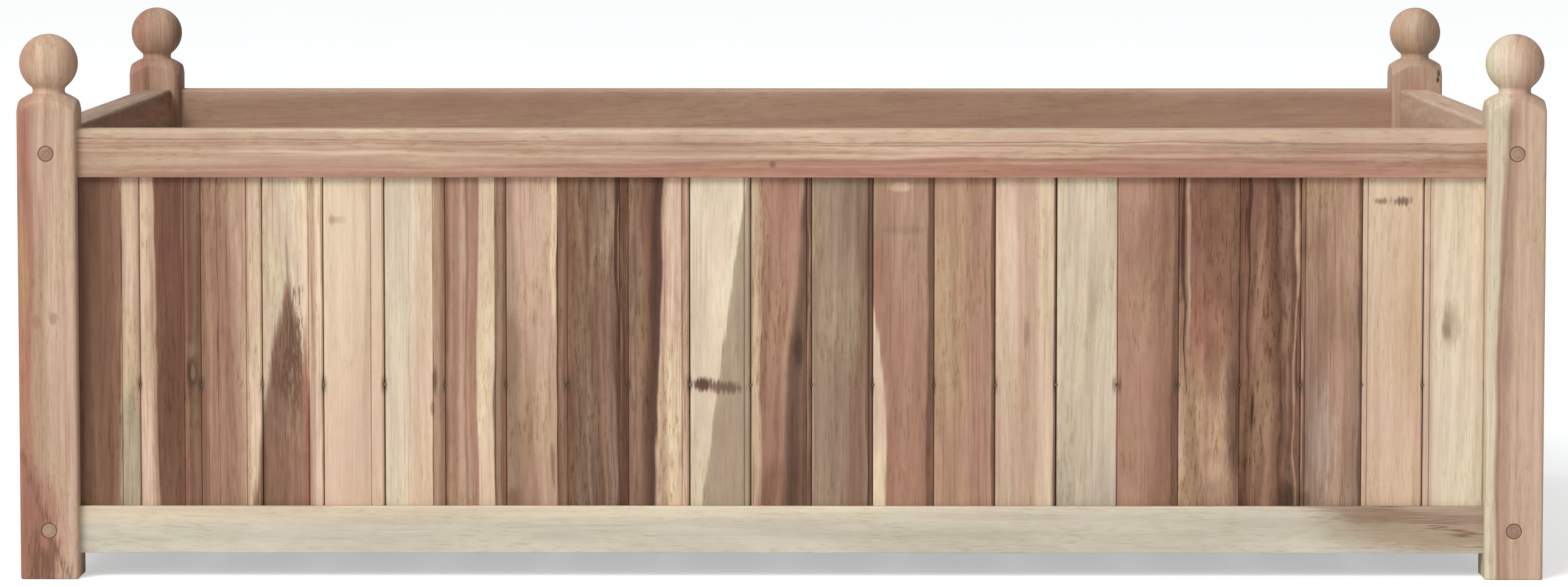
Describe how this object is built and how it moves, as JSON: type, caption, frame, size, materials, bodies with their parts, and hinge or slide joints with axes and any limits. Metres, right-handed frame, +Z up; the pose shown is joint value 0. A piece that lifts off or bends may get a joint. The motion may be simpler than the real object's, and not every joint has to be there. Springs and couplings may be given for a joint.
{
  "type": "raised planter",
  "caption": "Open rectangular trough planter of mixed hardwood boards between turned corner posts with ball tops and short legs, with a slatted floor.",
  "frame": {"origin": "on the ground under the middle of the planter", "axes": "+X along the length to the right, +Y to the back, +Z up; the front faces -Y"},
  "size_m": [1.2, 0.8, 0.4295],
  "materials": {
    "post_wood": "unfinished",
    "top_rail_wood": "unfinished",
    "bottom_rail_wood": "unfinished",
    "heartwood_board": "unfinished",
    "sapwood_board": "unfinished",
    "inner_wood": "unfinished",
    "plug_wood": "unfinished",
    "stainless_steel": "brushed"
  },
  "bodies": {
    "root": {"front_left_post": "post_wood", "front_right_post": "post_wood", "back_left_post": "post_wood", "back_right_post": "post_wood", "front_top_rail": "top_rail_wood", "back_top_rail": "top_rail_wood", "left_top_rail": "top_rail_wood", "right_top_rail": "top_rail_wood", "front_bottom_rail": "bottom_rail_wood", "back_bottom_rail": "bottom_rail_wood", "left_bottom_rail": "bottom_rail_wood", "right_bottom_rail": "bottom_rail_wood", "front_slat_01": "heartwood_board", "front_slat_02": "heartwood_board", "front_slat_03": "heartwood_board", "front_slat_04": "sapwood_board", "front_slat_05": "sapwood_board", "front_slat_06": "sapwood_board", "front_slat_07": "heartwood_board", "front_slat_08": "sapwood_board", "front_slat_09": "heartwood_board", "front_slat_10": "heartwood_board", "front_slat_11": "sapwood_board", "front_slat_12": "heartwood_board", "front_slat_13": "heartwood_board", "front_slat_14": "sapwood_board", "front_slat_15": "heartwood_board", "front_slat_16": "sapwood_board", "front_slat_17": "sapwood_board", "front_slat_18": "heartwood_board", "front_slat_19": "heartwood_board", "front_slat_20": "heartwood_board", "front_slat_21": "heartwood_board", "front_slat_22": "sapwood_board", "front_slat_23": "sapwood_board", "back_slats": "heartwood_board", "left_slats": "sapwood_board", "right_slats": "sapwood_board", "front_batten": "inner_wood", "back_batten": "inner_wood", "left_batten": "inner_wood", "right_batten": "inner_wood", "front_floor_cleat": "inner_wood", "back_floor_cleat": "inner_wood", "front_floor_bearer": "inner_wood", "back_floor_bearer": "inner_wood", "floor_slats": "inner_wood", "post_plugs": "plug_wood", "slat_pins": "stainless_steel", "post_screws": "stainless_steel", "cleat_screws": "stainless_steel", "floor_screws": "stainless_steel"}
  },
  "joints": []
}
